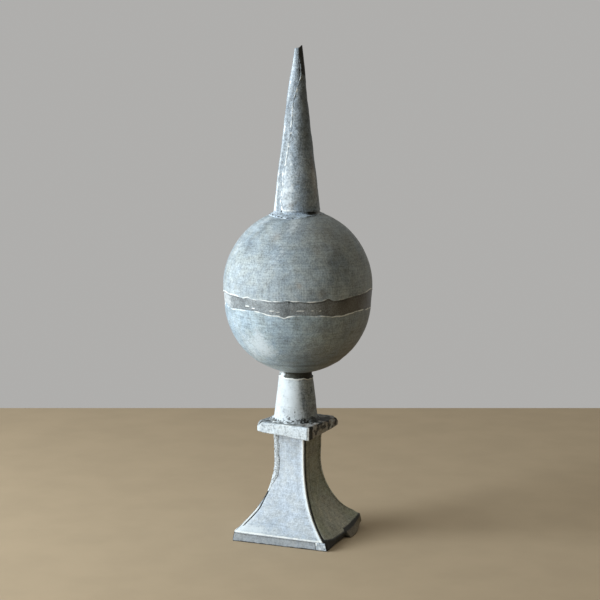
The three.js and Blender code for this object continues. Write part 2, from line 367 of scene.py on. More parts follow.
def zinc(
    name, light, dark, warm, grain=1.5, contrast=1.0, lines=0.06,
    break_up=0.9, roughness=0.62, depth=0.12, chalk_and_light_tone=BLOOM_AND_LIGHT,
):
    """Zinc patina: clouds between a light, a dark and a warmer tone, blotches, grain and scratches.

    Of the masks over it, one lays chalky white bloom and painted light, one bare bright metal and painted
    highlights, one black dirt and painted shadow, one brown rust and a warm tint in painted shade, and one
    darkens evenly, as darker patina and as painted shade.
    """
    f = Finish(name, roughness)
    colour = f.mix(f.ramp(f.noise(CLOUD_SIZE, detail=5, seed=1.1), 0.36, 0.66), light, dark)
    colour = f.mix(f.ramp(f.noise(CLOUD_SIZE * 1.7, detail=3, seed=4.2), 0.45, 0.72), colour, warm)
    tint = f.mix(f.ramp(f.noise(9, detail=4, seed=5.5), 0.36, 0.64), (0.975, 1.0, 1.04), (1.015, 1.0, 0.98))
    colour = f.mix(1.0, colour, tint, "MULTIPLY")
    fine = f.noise(grain, detail=2, seed=2.3)
    level = f.total(
        f.swing(fine, 0.26 * contrast),
        f.swing(f.noise(grain * 3.2, detail=3, seed=7.7), 0.17 * contrast),
        f.swing(f.noise(1.4, (18, 18, 0.7), detail=1, seed=3.9), lines),
        f.swing(f.noise(1.4, (0.7, 0.7, 18), detail=1, seed=8.1), lines),
        1.0,
    )
    colour = f.mix(1.0, colour, f.grey(level), "MULTIPLY")
    specks = f.noise(grain * 0.9, detail=2, seed=9.4)
    colour = f.mix(f.ramp(specks, 0.66, 0.76, 0, 0.4 * contrast), colour, tuple(0.45 * c for c in dark))
    colour = f.mix(f.ramp(specks, 0.34, 0.24, 0, 0.35 * contrast), colour, tuple(1.5 * c for c in light))
    height = f.total(fine, f.math("MULTIPLY", specks, 0.8))
    return f.done(f.weathered(colour, break_up, chalk_and_light_tone), height, depth)


def solder(name, tone, lighter, roughness, metallic, contrast, depth=0.15):
    f = Finish(name, roughness, metallic)
    colour = f.mix(f.ramp(f.noise(14, detail=4, seed=3.3), 0.35, 0.65), tone, lighter)
    grain = f.noise(1.4, detail=2, seed=5.1)
    colour = f.mix(1.0, colour, f.grey(f.ramp(grain, 0.3, 0.7, 1 - contrast, 1 + contrast)), "MULTIPLY")
    return f.done(f.weathered(colour, 0.9, BLOOM_AND_LIGHT), f.total(grain, f.noise(6, detail=3)), depth)


FINISH = {
    "dome": zinc(
        "zinc_dome", (0.365, 0.415, 0.435), (0.27, 0.32, 0.35), (0.325, 0.365, 0.368),
        contrast=0.75, lines=0.12,
    ),
    "dome_low": zinc(
        "zinc_dome_low", (0.36, 0.44, 0.485), (0.265, 0.34, 0.395), (0.318, 0.385, 0.41),
        contrast=0.75, lines=0.12, chalk_and_light_tone=(0.60, 0.668, 0.712),
    ),
    "panel": zinc(
        "zinc_panel", (0.445, 0.49, 0.53), (0.385, 0.43, 0.47), (0.42, 0.46, 0.49), contrast=0.6, lines=0.07
    ),
    # A darker, olive copy of the panel finish for the right and back panels, which face away from the window:
    # painted shade
    "panel_shaded": zinc(
        "zinc_panel_dark", (0.41, 0.40, 0.325), (0.33, 0.325, 0.26), (0.35, 0.36, 0.265),
        contrast=0.9, lines=0.08,
    ),
    "spike": zinc(
        "zinc_spike", (0.33, 0.375, 0.41), (0.23, 0.275, 0.315), (0.28, 0.32, 0.345),
        grain=1.6, contrast=1.2, depth=0.3,
    ),
    "collar": zinc(
        "zinc_collar", (0.49, 0.565, 0.625), (0.405, 0.475, 0.54), (0.43, 0.48, 0.505),
        contrast=1.4, depth=0.3,
    ),
    "neck": zinc(
        "zinc_neck", (0.30, 0.335, 0.35), (0.235, 0.265, 0.285), (0.275, 0.285, 0.265),
        contrast=1.2, lines=0.2, break_up=0.6, roughness=0.7,
    ),
    "cap": zinc(
        "zinc_cap", (0.42, 0.455, 0.47), (0.29, 0.32, 0.34), (0.34, 0.35, 0.32),
        grain=1.7, contrast=1.6, roughness=0.7, depth=0.3,
    ),
    "band": solder("solder_band", (0.18, 0.205, 0.22), (0.27, 0.30, 0.315), 0.45, 0.2, 0.3),
    # Near-black solder, partly painted shadow under the ball
    "solder_dark_and_shaded": solder("solder_dark_and_shaded", (0.03, 0.032, 0.024), (0.075, 0.08, 0.064), 0.6, 0.2, 0.3, 0.3),
    "solder_foot": solder("solder_foot", (0.20, 0.21, 0.205), (0.32, 0.34, 0.345), 0.6, 0.1, 0.5, 0.3),
    "solder_pale": solder("solder_pale", (0.38, 0.41, 0.43), (0.48, 0.52, 0.54), 0.5, 0.2, 0.4, 0.3),
}


# Pedestal


def cove_radius():
    reach, rise = FOLD_HALF - WAIST_HALF, WAIST_HEIGHT - RIM_HEIGHT
    return (reach**2 + rise**2) / (2 * reach)


def half_at(height):
    """Half width of the pedestal at a height."""
    height = np.asarray(height, float)
    rim = FOOT_HALF + (FOLD_HALF - FOOT_HALF) * height / RIM_HEIGHT
    radius = cove_radius()
    drop = np.clip((WAIST_HEIGHT - height) / radius, 0, 1)
    cove = WAIST_HALF + radius * (1 - np.sqrt(1 - drop**2))
    shaft = WAIST_HALF + (SHAFT_TOP_HALF - WAIST_HALF) * (height - WAIST_HEIGHT) / (SHAFT_TOP - WAIST_HEIGHT)
    return np.where(height < RIM_HEIGHT, rim, np.where(height < WAIST_HEIGHT, cove, shaft))


def panel_section():
    """Outer line of a panel and its normal, half width against height, closer together at the fold."""
    rim = np.linspace(0, RIM_HEIGHT, 13)
    sweep = math.asin((WAIST_HEIGHT - RIM_HEIGHT) / cove_radius())
    cove = WAIST_HEIGHT - cove_radius() * np.sin(np.linspace(sweep, 0, 70))[1:]
    shaft = np.linspace(WAIST_HEIGHT, SHAFT_TOP, 36)[1:]
    heights = np.concatenate([rim, cove, shaft])
    line = np.stack([half_at(heights), heights], -1)
    step = np.gradient(line, axis=0)
    step /= np.linalg.norm(step, axis=-1, keepdims=True)
    return line, np.stack([step[:, 1], -step[:, 0]], -1)


def rim_damage(along):
    torn = smoothstep(along, TEAR_PLACE - TEAR_SPAN / 2, TEAR_PLACE + TEAR_SPAN / 2)
    near = smoothstep(along, -0.95, -0.5) * (1 - torn)
    far = torn * (1 - smoothstep(along, 0.3, 1))
    return {"near": near, "far": far}


def panel_points(line, along, damaged, bent_end):
    """Points of a panel as seen from the front, one row for each point of the line."""
    half, height = line[:, :1] + 0 * along, line[:, 1:] + 0 * along
    x = along * (half - GAP / math.sqrt(2))
    points = np.stack([x, -half, height], -1)
    if damaged:
        hurt = rim_damage(along)
        to_fold = np.clip(height / RIM_HEIGHT, 0, 1)
        above = 1 - smoothstep(height, RIM_HEIGHT, 17)
        fold_share = np.where(height <= RIM_HEIGHT, to_fold, above)
        edge_share = np.where(height <= RIM_HEIGHT, 1 - to_fold, 0)
        points[..., 1] -= CRUSH_OUT * hurt["near"] * fold_share + BULGE * hurt["far"] * edge_share
        points[..., 2] += TUCK_LIFT * hurt["near"] * edge_share - CRUSH_DOWN * hurt["near"] * fold_share
    knock = CORNER_WEAR * bump(height, RIM_HEIGHT + 0.5, 5) * smoothstep((1 - np.abs(along)) * half, 9, 0)
    points[..., 0] -= knock * np.sign(along)
    points[..., 1] += knock
    if bent_end:
        out_along = (bent_end * along * half + half) / math.sqrt(2)
        low = 1 - smoothstep(height, RIM_HEIGHT, 60)
        points[..., 2] += CORNER_LIFT * smoothstep(out_along, LIFT_START, FOOT_HALF * math.sqrt(2)) * low
    return points


def panel_relief(side, along, line):
    """How far the outer face of a panel stands proud, with the masks of its finish.
    Besides wear and dirt, the masks hold painted shade and painted highlights.
    """
    half, height = line[:, :1] + 0 * along, line[:, 1:] + 0 * along
    from_right = (1 - along) * half
    from_left = (1 + along) * half
    on_rim = 1 - smoothstep(height, RIM_HEIGHT - 0.8, RIM_HEIGHT + 0.2)
    relief = -0.7 * smoothstep(from_right, 0.9, 0) ** 2 - 0.7 * smoothstep(from_left, 0.9, 0) ** 2
    masks = {key: 0 * half for key in MASKS}
    ragged = 0.8 + 0.4 * line_noise(along * 50, 4, 7)
    # pale marks the front and left panels, which face the window
    pale = side in ("front", "left")
    # On those sides the fold is painted bright, as a highlight, and dark lines under the fold and along the
    # foot of the rim are painted shade and contact shadow; every rim is painted darker, most on the sides
    # away from the window
    masks["wear_and_highlight"] += 0.92 * bump(height, RIM_HEIGHT + 0.3, 0.9) * ragged * pale
    relief += 0.3 * bump(height, RIM_HEIGHT, 0.8) * pale
    masks["shade"] += (0.60 if pale else 0.9) * on_rim
    hem = 0.5 + 0.6 * line_noise(along * 50 + 90, 6, 9)
    masks["dirt_and_shadow"] += 0.56 * bump(height, RIM_HEIGHT - 1.6, 0.8) * pale
    masks["dirt_and_shadow"] += 0.85 * smoothstep(height, 1.1 + hem, hem - 0.3) * pale
    # Darker at the top of the shaft, under the cap's overhang: painted shadow
    fringe = np.clip(0.5 + 0.8 * line_noise(along * 17 + 40 * (side == "right"), 1.3, 5), 0, 1)
    masks["dirt_and_shadow"] += 0.62 * smoothstep(height, 99 + 6 * fringe, 108) * fringe
    if side == "front":
        # Along the near corner, a bright strip is partly worn edge and partly painted highlight, and the pale
        # glow beside it and beside the left corner is painted light
        masks["wear_and_highlight"] += 0.95 * bump(from_right, 0.6, 1.3) * smoothstep(height, 6, 14)
        masks["bloom_and_light"] += (0.5 * bump(from_right, 2.2, 3.2) + 0.3 * bump(from_left, 3, 4)) * (1 - on_rim)
        masks["bloom_and_light"] += 0.30 * bump(height, RIM_HEIGHT + 3, 4) * (1 - on_rim)
        relief += 0.35 * bump(from_right, 1.6, 1.6)
        lower = (1 - smoothstep(height, 48, 54)) * smoothstep(height, 11, 17)
        # A dark line in the groove by the left corner: painted shade
        groove = bump(from_left, 1.0 + 2.4 * smoothstep(height, 42, 28), 0.8) * lower
        relief -= 0.8 * groove
        masks["dirt_and_shadow"] += 1.1 * groove
        masks["wear_and_highlight"] += 0.85 * smoothstep(from_left, 2.4, 1.6) * lower * smoothstep(height, 38, 26)
        masks["shade"] += 0.16 * bump(from_right, 9, 2.5) * smoothstep(height, 22, 40)
        spots = np.stack([along * half, 0 * half, height], -1)
        masks["shade"] += 0.10 * smoothstep(noise(spots, 13, 8), 0.15, 0.7) * (1 - on_rim)
        pitted = smoothstep(noise(spots, 1.3, 12), 0.1, 0.6) * smoothstep(height, 66, 100)
        pitted *= smoothstep(from_right, 3, 7)
        masks["dirt_and_shadow"] += 0.36 * pitted
        masks["shade"] += 0.2 * pitted
        masks["bloom_and_light"] += 0.35 * smoothstep(height, 40, 16) * smoothstep(along, 0.3, -0.8) * (1 - on_rim)
        masks["shade"] += (0.02 - 0.18 * along) * on_rim
        masks["rust_and_shade_tint"] += 0.05 * on_rim
    if side == "right":
        # The right panel faces away from the window: it is painted darker higher up, towards its far edge and
        # in a line beside the raised strip, as shade, and the crevice by the near corner is painted dark, as
        # shade
        width = 3.2 + 0.8 * smoothstep(height, 12, 85)
        crevice = 1 - smoothstep(from_left, width, width + 0.5)
        relief -= 0.35 * crevice
        masks["shade"] += 0.42 * smoothstep(height, 26, 62)
        masks["dirt_and_shadow"] += 1.3 * crevice
        strip = smoothstep(from_left, width + 0.3, width + 0.9)
        strip *= 1 - smoothstep(from_left, width + 4.2, width + 5.4)
        relief += 0.5 * strip
        above = smoothstep(height, 14, 30)
        masks["bloom_and_light"] += 0.26 * strip * above
        masks["shade"] += 0.45 * bump(from_left, width + 6.2, 0.8) * above
        masks["shade"] += 0.3 * smoothstep(from_right, 5, 0) * above
        # The crushed near half of the rim faces down and is painted dark, as shade, as is the fold above it;
        # the torn far flap is darker and browner, partly painted shade
        masks["dirt_and_shadow"] += 0.8 * on_rim * (1 - smoothstep(along, 0.0, 0.1)) + 0.9 * bump(height, 8.5, 1.9)
        masks["shade"] += 0.3 * on_rim * smoothstep(along, 0.0, 0.1)
        masks["rust_and_shade_tint"] += 0.25 * on_rim * smoothstep(along, 0.0, 0.1)
        masks["dirt_and_shadow"] += 0.3 * on_rim * smoothstep(along, 0.0, 0.1)
    return relief, masks


def panel(side, index, bent_end=0):
    line, normal = panel_section()
    half_columns = np.concatenate([np.linspace(0, 0.8, 26)[:-1], 1 - 0.2 * np.linspace(1, 0, 22) ** 1.6])
    along = np.concatenate([-half_columns[:0:-1], half_columns])[None, :]
    outer = panel_points(line, along, side == "right", bent_end)
    inner_line = line - SHEET * normal
    inner_line[0] = [line[0, 0] - SHEET, 0]
    inner_line[-1, 1] = SHAFT_TOP
    inner = panel_points(inner_line, along, side == "right", bent_end)
    relief, masks = panel_relief(side, along, line)
    world = outer + np.array([131.0 * index, 57.0 * index, 0])
    relief = relief + 0.5 * noise(world, 34, 3) + 0.12 * noise(world, 6, 4) + 0.05 * noise(world, 2, 5)
    fade = smoothstep(1 - np.abs(along), 0, 0.06)
    relief = relief * (0.35 + 0.65 * fade) if side in ("back", "left") else relief
    outer[..., 1] -= relief * normal[:, :1]
    outer[..., 2] += relief * normal[:, 1:]
    outer[..., 2] = np.maximum(outer[..., 2], 0)
    grid = np.concatenate([outer, inner[::-1]])
    full = {key: np.concatenate([value, value[::-1]]) for key, value in masks.items()}
    # The inner faces are painted dark: painted shade inside the hollow pedestal
    full["dirt_and_shadow"][len(line):] = 0.75
    turns = np.concatenate([turn_at(line[:, 1]), turn_at(line[::-1, 1])])[:, None]
    grid = turned_about(grid, turns + index * math.pi / 2)
    # The right and back panels take the darker copy: painted shade
    finish = FINISH["panel_shaded"] if side in ("right", "back") else FINISH["panel"]
    piece = grid_piece(f"panel_{side}", grid, finish, full, closed_rows=True)
    return place(piece, "zinc_sheet", f"pedestal_{side}")


def corner_bead(name, corner, low, high, reach, thick, finish):
    """A run of solder over a corner, 0 near left, 2 far right and 3 far left, with curling creases.
    reach is how far it comes on to the panel on the corner's left and on to the one on its right."""
    heights = np.linspace(low, high, int((high - low) / 0.45))[:, None]
    across = np.linspace(-1, 1, 25)[None, :]
    half = half_at(heights)
    ragged = 1 + 0.35 * line_noise(heights, 4.5, 11 + corner)
    taper = smoothstep(heights, low - 2, low + 18)
    run = np.where(across < 0, reach[0], reach[1]) * across * ragged * (0.35 + 0.65 * taper)
    bend = np.radians(90 * smoothstep(across, -0.6, 0.6))
    crown = thick * (1 - np.abs(across) ** 2.2) * taper
    spots = np.stack([run, heights + 0 * run, 0 * run + 9.0 * corner], -1)
    creases = np.abs(noise(spots, (2.3, 2.7, 3.0), 19) + 0.3 * noise(spots, 1.3, 20))
    crown = crown * (0.6 + 0.4 * smoothstep(creases, 0.02, 0.25))
    x = -half + np.maximum(run, 0) - crown * np.cos(bend)
    y = -half + np.maximum(-run, 0) - crown * np.sin(bend)
    points = np.stack([x, y, heights + 0 * x], -1)
    if corner == 2:
        lift = smoothstep(half * math.sqrt(2), LIFT_START, FOOT_HALF * math.sqrt(2))
        points[..., 2] += CORNER_LIFT * lift * (1 - smoothstep(heights, RIM_HEIGHT, 60))
    grid = turned_about(points, turn_at(heights) + corner * math.pi / 2)
    edge = smoothstep(np.abs(across), 0.84, 1.0)
    # The creases are grooves: dark in them and along the bead's edges is painted shade, and darker near the
    # top, under the cap, is painted shadow
    masks = {
        "bloom_and_light": 0.40 * smoothstep(creases, 0.12, 0.4) * taper,
        "dirt_and_shadow": (0.65 * smoothstep(creases, 0.11, 0.02) + 0.35 * smoothstep(heights, 98, 108)) * taper
        + 0.5 * edge * (0.3 + 0.7 * taper),
        "shade": 0.2 + 0 * crown,
    }
    return place(grid_piece(name, grid[:, ::-1], finish, {k: v[:, ::-1] for k, v in masks.items()}), "solder")


def rim_tab():
    """The right panel's rim laps round the near corner on to the front."""
    reach, low, high, thick = 11.5, 0.4, 8.4, 0.7
    u = np.linspace(0, 1, 24)[None, :]
    v = np.linspace(0, 1, 14)[:, None]
    edge = 0.5 * line_noise(v * 8, 3, 71)
    x = FOOT_HALF + 0.35 - (1 - u) * (reach + edge)
    z = low + (high - low) * v - 1.4 * smoothstep(u, 0.25, 0) * (v - 0.5)
    round_off = smoothstep(u, 0, 0.1) * np.minimum(1, 9 * np.minimum(v, 1 - v))
    front = np.stack([x, -half_at(z) - thick * round_off - 0.05, z], -1)
    back = np.stack([x, -half_at(z) + 0.2, z], -1)
    grid = np.concatenate([front, back[::-1]])
    grid = turned_about(grid, turn_at(grid[..., 2]))
    lump = noise(grid, (2.6, 2.6, 2.6), 73)
    # A dark line along the tab's free edge is painted shade
    outline = np.concatenate([bump(u, 0.0, 0.08) + 0 * z, 0 * z])
    masks = {
        "bloom_and_light": 0.30 + 0.35 * smoothstep(lump, -0.1, 0.4),
        "wear_and_highlight": np.concatenate([0.9 * bump(u, 0.17, 0.06) * smoothstep(v, 0.3, 0.9), 0 * z]),
        "dirt_and_shadow": 1.3 * outline + 0.6 * smoothstep(-lump, 0.45, 0.75),
        "shade": 0.2,
    }
    return place(grid_piece("rim_tab", grid, FINISH["panel"], masks, closed_rows=True), "zinc_sheet")


# Cap plate


def square_ring(half, corners, steps=36, arc=13):
    """A square in plan, with radii for its far right, far left, near left and near right corners."""
    points = []
    for side in range(4):
        corner, coming = corners[side], corners[(side + 1) % 4]
        middle = (side + 0.5) * math.pi / 2
        centre = (half - corner) * math.sqrt(2) * np.array([math.cos(middle), math.sin(middle)])
        for j in range(arc):
            angle = (side + j / (arc - 1)) * math.pi / 2
            points.append(centre + corner * np.array([math.cos(angle), math.sin(angle)]))
        angle = (side + 1) * math.pi / 2
        start = points[-1]
        run = np.array([-math.sin(angle), math.cos(angle)]) * (2 * half - corner - coming)
        points.extend(start + run * k / steps for k in range(1, steps))
    return np.array(points)


def over_corners(x, y, values):
    """Numbers spread evenly between the cap's near left, near right, far right and far left corners."""
    u, v = np.clip(x / CAP_HALF, -1, 1), np.clip(y / CAP_HALF, -1, 1)
    shares = ((1 - u) * (1 - v), (1 + u) * (1 - v), (1 + u) * (1 + v), (1 - u) * (1 + v))
    return sum(share * value / 4 for share, value in zip(shares, values))


def cap_plate():
    fillet = CAP_EDGE * (1 - math.sqrt(0.5))
    lip = CAP_TOP - CAP_DROP
    section = [(None, CAP_TOP, POST_HOLE)]
    section += [(CAP_HALF - CAP_EDGE - d, CAP_TOP, None) for d in (10, 8, 6, 4, 2, 1)]
    section += [
        (CAP_HALF - CAP_EDGE, CAP_TOP, None),
        (CAP_HALF - CAP_EDGE * 0.5, CAP_TOP - 0.3, None),
        (CAP_HALF - fillet, CAP_TOP - fillet, None),
        (CAP_HALF - 0.1, CAP_TOP - CAP_EDGE * 0.7, None),
    ]
    section += [(CAP_HALF, z, None) for z in np.linspace(CAP_TOP - CAP_EDGE, lip + 0.4, 9)]
    section += [(CAP_HALF - 0.3, lip, None), (CAP_HALF - SHEET + 0.2, lip, None)]
    section += [(CAP_HALF - SHEET, z, None) for z in np.linspace(lip + 0.3, CAP_TOP - CAP_EDGE, 5)]
    section += [(CAP_HALF - CAP_EDGE, CAP_TOP - SHEET, None), (None, CAP_TOP - SHEET, POST_HOLE)]
    rings = []
    for half, z, hole in section:
        corners = [max(corner - 0.5 * (CAP_HALF - (half or CAP_HALF)), 0.8) for corner in CAP_CORNERS]
        ring = square_ring(half or CAP_HALF, corners)
        if hole:
            ring = ring / np.linalg.norm(ring, axis=-1, keepdims=True) * hole
        rings.append(np.concatenate([ring, np.full((len(ring), 1), z)], -1))
    grid = np.array(rings)
    x, y, z = grid[..., 0].copy(), grid[..., 1].copy(), grid[..., 2].copy()
    low = smoothstep(CAP_TOP - z, 1.5, CAP_DROP)
    grid[..., 2] += (1 - low) * over_corners(x, y, CAP_TOP_LIFT) + low * over_corners(x, y, CAP_LIP_LIFT)
    out = np.clip(np.hypot(x, y) / CAP_HALF, 0, 1.5)
    for u, v, drop in CAP_WORN_CORNERS:
        away = np.hypot(x - u * CAP_HALF, y - v * CAP_HALF)
        grid[..., 2] -= drop * (1 - low) * smoothstep(away, 9, 3)
    rough_top = 0.35 * noise(grid, 14, 41) * smoothstep(out, 0.75, 1) + 0.16 * noise(grid, 3, 42)
    grid[..., 2] += rough_top
    wobble = 0.45 * noise(grid, 12, 43) + 0.2 * noise(grid, 2.5, 44)
    flat = grid[..., :2] / np.maximum(np.linalg.norm(grid[..., :2], axis=-1, keepdims=True), 1)
    front = smoothstep(-y, CAP_HALF - 5, CAP_HALF - 0.5)
    left = smoothstep(-x, CAP_HALF - 5, CAP_HALF - 0.5)
    right = smoothstep(x, CAP_HALF - 3, CAP_HALF - 0.5)
    top = smoothstep(z, CAP_TOP - 1.2, CAP_TOP - 0.4)
    crevice = right * smoothstep(y + CAP_HALF, 8.0, 6.0) * (0.95 + 0.3 * noise(grid, 3, 45))
    wobble = wobble - 0.3 * crevice
    grid[..., :2] += flat * (wobble * smoothstep(out, 0.85, 1))[..., None]
    under = np.zeros_like(z)
    under[-7:] = 1
    on_top = top * (1 - smoothstep(-y, CAP_HALF - 4, CAP_HALF - 1.5))
    patches = smoothstep(noise(grid, 5.5, 47), 0.0, 0.5) + 0.6 * smoothstep(noise(grid, 2.2, 48), 0.2, 0.6)
    pit = np.exp(-(((x + 24.5) / 3.2) ** 2) - ((y + 11) / 2.6) ** 2) * top
    # The front and left faces, toward the window, are chalky white, partly painted light, and the front's top
    # edge is bright, partly painted highlight. The right face and the top are painted shade, the right with a
    # brown tint, and the crevice at the right face's near corner and the underside are painted dark, as shade
    masks = {
        "bloom_and_light": (0.50 * front * (1 - right) * (1 - on_top) + left * (0.40 + 0.05 * top)) * (1 - under)
        + 0.42 * right * (1 - crevice) * smoothstep(noise(grid, 3.4, 50), 0.05, 0.45),
        "wear_and_highlight": 0.55 * bump(z, CAP_TOP - 0.6, 0.8) * front * (1 - right) * (0.7 + 0.6 * noise(grid, 5, 46))
        + 0.7 * front * bump(x, CAP_HALF - 0.8, 1.0) * (1 - under),
        "dirt_and_shadow": on_top * (0.20 + 0.6 * patches - 0.1 * smoothstep(x, 12, 22)) * (1 - 0.7 * left)
        + 1.5 * crevice + 0.8 * under + 1.1 * pit
        + 0.66 * right * smoothstep(noise(grid, 3.6, 49), -0.1, 0.4),
        "shade": 0.46 * right + on_top * (0.50 - 0.4 * smoothstep(x, 14, 25)) * (1 - 0.5 * left),
        "rust_and_shade_tint": 0.25 * right + 0.25 * on_top * smoothstep(x, 8, 24),
    }
    grid = turned_about(grid, turn_at(CAP_TOP))
    piece = grid_piece("cap_tray", grid[::-1], FINISH["cap"], {k: v[::-1] for k, v in masks.items()},
                       closed_rows=True, closed_columns=True)
    return place(piece, "pale_zinc", "cap_plate")


# Neck


def neck_radius(height):
    return NECK_FOOT_RADIUS - NECK_TAPER * (height - NECK_FOOT)


def around(centre, angle, radius, height):
    """Points at a direction, radius and height about an upright axis."""
    x = centre[0] + radius * np.cos(angle)
    y = centre[1] + radius * np.sin(angle)
    return np.stack(np.broadcast_arrays(x, y, height), -1)


def round_about(count):
    """Directions all round an axis, in a row, with their bearings."""
    angle = np.linspace(0, 2 * math.pi, count, endpoint=False)[None, :]
    return angle, bearing_of(np.cos(angle), np.sin(angle))


def neck_tube():
    angle, bearing = round_about(150)
    top = 165.0 + 0.9 * ring_noise(angle, 11, 51) + 1.6 * bump(bearing, -60, 25) - 1.2 * bump(bearing, 55, 22)
    share = joined_runs((0, 0.9, 60), (0.9, 1, 14))[:, None]
    height = NECK_FOOT + (top - NECK_FOOT) * share
    radius = neck_radius(height)
    spot = around((0, 0), angle, radius, height)
    radius = radius + 0.25 * noise(spot, 18, 52) + 0.06 * noise(spot, 3, 53) + 0.35 * bump(share, 0.985, 0.02)
    outer = around(NECK_CENTRE, angle, radius, height)
    inner = around(NECK_CENTRE, angle, radius - SHEET, height)
    grid = np.concatenate([outer, inner[::-1]])
    flecks = smoothstep(noise(spot, 1.7, 54), 0.25, 0.6) * (0.35 + 0.65 * smoothstep(height, 142, 128))
    # The white covers the side toward the window and fades out round to the right with the light: partly the
    # neck's own white coat, partly painted light
    chalk_and_light = smoothstep(bearing - 13 * smoothstep(height, 146, 124), 46, -30) * smoothstep(bearing, -176, -140)
    masks = {
        "bloom_and_light": np.minimum(1.1 * chalk_and_light, 0.61 + 0.10 * noise(spot, 6, 55)),
        "wear_and_highlight": 0.9 * smoothstep(share, 0.955, 0.99) * smoothstep(-np.abs(bearing), -110, -60),
        # Dark flecks, and darker at the foot where it meets the plate: painted shade
        "dirt_and_shadow": 0.62 * flecks * bump(bearing, -4, 55) + 0.2 * bump(height, NECK_FOOT, 3),
        "rust_and_shade_tint": 0.10 * bump(bearing, 50, 20) * bump(share, 0.2, 0.2),
        # Painted shade on the right, away from the window; also darker in a strip at the front near the top
        # and a little on the left
        "shade": 0.25 * smoothstep(bearing, 60, 90) * smoothstep(bearing, 200, 120)
        + 0.20 * bump(bearing, 5, 18) * smoothstep(height, 130, 142) + 0.14 * smoothstep(bearing, 20, -30),
    }
    full = {}
    for key, value in masks.items():
        value = np.broadcast_to(value, height.shape)
        full[key] = np.concatenate([value, value[::-1] * 0])
    piece = grid_piece("neck_tube", grid, FINISH["neck"], full, closed_rows=True, closed_columns=True)
    return place(piece, "pale_zinc", "neck")


def ball_underside(radius):
    return LOWER_CENTRE - np.sqrt(LOWER_RADIUS**2 - np.asarray(radius, float) ** 2)


def neck_top_solder():
    """Dark solder between the ragged head of the neck and the ball. Its near-black is partly painted shadow
    under the ball; it is pale on its left as painted light and blacker on its right as painted shade.
    """
    angle, bearing = round_about(120)
    share = np.linspace(0, 1, 18)[:, None]
    toe = ball_underside(19.5) + 0.3
    height = 160.0 + (toe - 160.0) * share
    radius = neck_radius(height) - 0.35 + 1.5 * smoothstep(share, 0.8, 1)
    spot = around((0, 0), angle, radius, height)
    lump = 0.5 * noise(spot, (5, 5, 3), 61) + 0.2 * noise(spot, 2, 62)
    grid = around(NECK_CENTRE, angle, radius + lump * smoothstep(share, 0.3, 0.6), height)
    masks = {
        "bloom_and_light": (0.7 + 0.3 * noise(spot, 4, 63)) * bump(bearing, -68, 38) * smoothstep(share, 0.3, 0.7),
        "dirt_and_shadow": 0.62 * bump(bearing, 35, 45),
        "wear_and_highlight": 0.25 * smoothstep(lump, 0.25, 0.5),
    }
    piece = grid_piece("neck_top_solder", grid, FINISH["solder_dark_and_shaded"], masks, closed_columns=True)
    return place(piece, "solder")


def neck_foot_solder():
    """Lumps of solder round the foot of the neck, on the plate."""
    angle, bearing = round_about(170)
    share = np.linspace(0, 1, 22)[:, None]
    spread = 4.6 + 2.0 * bump(bearing, 0, 30) + 1.5 * bump(bearing, -80, 30) + 1.4 * ring_noise(angle, 12, 66)
    rise = 4.4 + 2.0 * ring_noise(angle, 9, 67) + 1.6 * bump(bearing, 22, 22)
    radius = NECK_FOOT_RADIUS - 0.9 + (spread + 0.9) * share**1.3
    height = CAP_TOP + 0.1 + rise * (1 - share) ** 1.7
    spot = around((0, 0), angle, radius, height)
    lump = 1.3 * noise(spot, 4.6, 68) + 0.7 * noise(spot, 2.2, 69)
    fade = smoothstep(share, 0, 0.2) * smoothstep(share, 1, 0.8)
    grid = around(NECK_CENTRE, angle, radius + 0.4 * lump * fade, height + np.maximum(lump, -0.3) * fade)
    creases = np.abs(noise(spot, (3.2, 3.2, 2.4), 70))
    ring = np.abs(np.hypot((bearing - 27) / 5.0, (height - CAP_TOP - 3.0) / 1.7) - 1)
    # Chalky white on the left is painted light; the darkening on the right and the black patch behind right
    # of the neck are painted shade
    masks = {
        "bloom_and_light": 0.75 * smoothstep(creases, 0.10, 0.45)
        * smoothstep(bearing, 32, -12) * smoothstep(bearing, -180, -120),
        "dirt_and_shadow": 0.95 * smoothstep(creases, 0.13, 0.02) + 1.1 * bump(ring, 0, 0.4)
        + 0.8 * bump(bearing, 13, 4) * bump(share, 0.4, 0.25) + 0.8 * bump(bearing, 62, 26),
        "wear_and_highlight": 0.5 * smoothstep(lump, 0.75, 1.1) * smoothstep(bearing, 70, 20),
        "shade": 0.8 * smoothstep(bearing, 8, 45) * smoothstep(bearing, 175, 130),
    }
    piece = grid_piece("neck_foot_solder", grid, FINISH["solder_foot"], masks, closed_columns=True)
    return place(piece, "solder")


# Ball


def seam_line(bearing, level, wave, kinks, seed):
    """Height of a torn edge round the ball at each bearing: a level, a slow wave, kinks and raggedness."""
    angle = np.radians(bearing)
    line = level + wave * ring_noise(angle, 55, seed, 2) + 0.75 * ring_noise(angle, 9, seed + 1, 3)
    line = line + 0.35 * ring_noise(angle, 2.6, seed + 2, 2)
    for at, height, spread in kinks:
        line = line + height * bump(degrees_past(bearing, at), 0, spread)
    return line


# Kinks in the torn edges: bearing, height and spread
UPPER_KINKS = (
    (-73, 2.4, 12), (-55, 1.2, 10), (-41, 1.6, 3), (-8, 1.2, 3),
    (23.5, 2.4, 3), (50, 2.8, 14), (75, 4.5, 14),
)
LOWER_KINKS = (
    (-76, 5, 8), (-50, 2.8, 16), (-32, 2.2, 8), (-10.5, -1.8, 3),
    (0, 1.0, 8), (32, -1.2, 12), (55, 1.8, 12),
)


def upper_edge(bearing):
    return seam_line(bearing, 251.2, 0.5, UPPER_KINKS, 81)


def lower_edge(bearing):
    return seam_line(bearing, 237.6, 0.5, LOWER_KINKS, 87)


